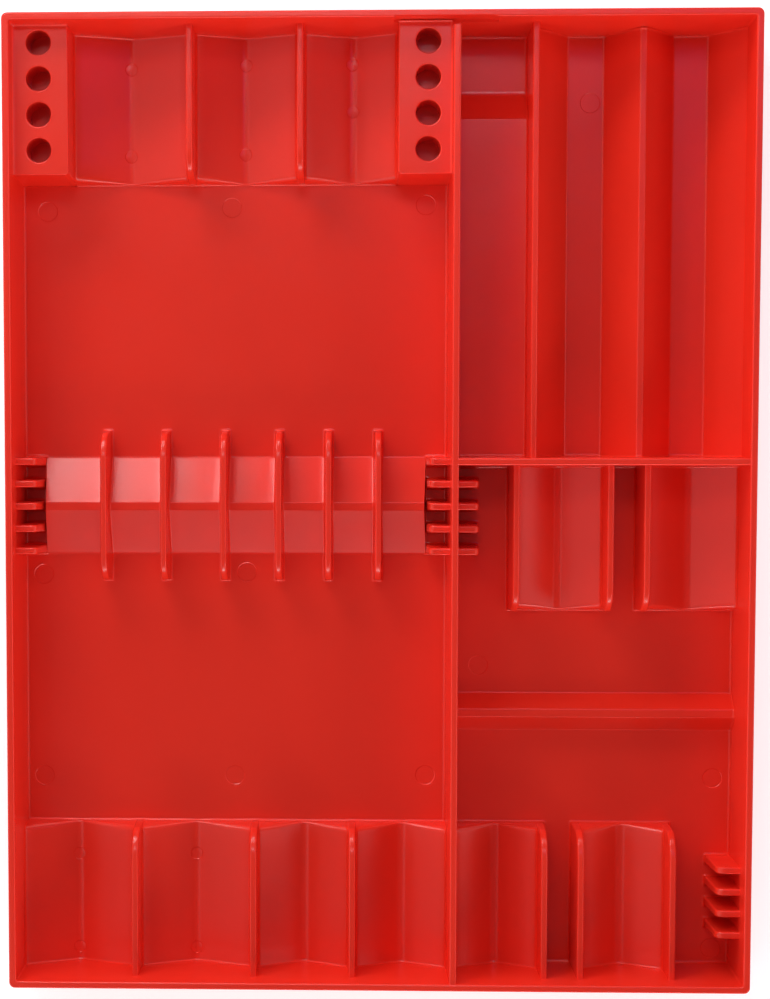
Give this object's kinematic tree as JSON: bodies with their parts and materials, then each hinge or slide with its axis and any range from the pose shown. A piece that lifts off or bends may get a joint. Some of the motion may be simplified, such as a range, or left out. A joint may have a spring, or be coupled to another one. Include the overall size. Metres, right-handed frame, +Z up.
{
  "type": "screwdriver tray",
  "caption": "Shallow red plastic drawer tray with cradles, ribs, combs and blocks of holes that hold screwdrivers and bits.",
  "frame": {"origin": "centre of the underside, on the surface that the tray rests on", "axes": "+X to the right and +Y to the rear of the tray as the picture shows it, +Z up"},
  "size_m": [0.305, 0.398, 0.038],
  "materials": {
    "red_plastic": "glossy moulded plastic"
  },
  "bodies": {
    "root": {"floor_plate": "red_plastic", "left_wall": "red_plastic", "right_wall": "red_plastic", "front_wall": "red_plastic", "rear_wall": "red_plastic", "centre_divider": "red_plastic", "cross_divider": "red_plastic", "channel_divider": "red_plastic", "left_bit_block": "red_plastic", "right_bit_block": "red_plastic", "rear_rib_1": "red_plastic", "rear_rib_2": "red_plastic", "rear_cradle_1": "red_plastic", "rear_cradle_2": "red_plastic", "rear_cradle_3": "red_plastic", "front_rib_1": "red_plastic", "front_rib_2": "red_plastic", "front_rib_3": "red_plastic", "front_cradle_1": "red_plastic", "front_cradle_2": "red_plastic", "front_cradle_3": "red_plastic", "front_cradle_4": "red_plastic", "corner_rib_1": "red_plastic", "corner_rib_2": "red_plastic", "corner_rib_3": "red_plastic", "corner_cradle_1": "red_plastic", "corner_cradle_2": "red_plastic", "middle_rib_1": "red_plastic", "middle_rib_2": "red_plastic", "middle_rib_3": "red_plastic", "middle_cradle_1": "red_plastic", "middle_cradle_2": "red_plastic", "left_comb": "red_plastic", "centre_left_comb": "red_plastic", "right_wall_comb": "red_plastic", "centre_right_comb": "red_plastic", "shaft_rib_1": "red_plastic", "shaft_rib_2": "red_plastic", "shaft_rib_3": "red_plastic", "shaft_rib_4": "red_plastic", "shaft_rib_5": "red_plastic", "shaft_rib_6": "red_plastic", "saddle_1": "red_plastic", "saddle_2": "red_plastic", "saddle_3": "red_plastic", "saddle_4": "red_plastic", "saddle_5": "red_plastic", "saddle_6": "red_plastic", "saddle_7": "red_plastic", "cross_ridge": "red_plastic", "left_channel_ramp": "red_plastic", "channel_ridge": "red_plastic", "right_channel_ramp": "red_plastic", "pocket_step": "red_plastic"}
  },
  "joints": []
}
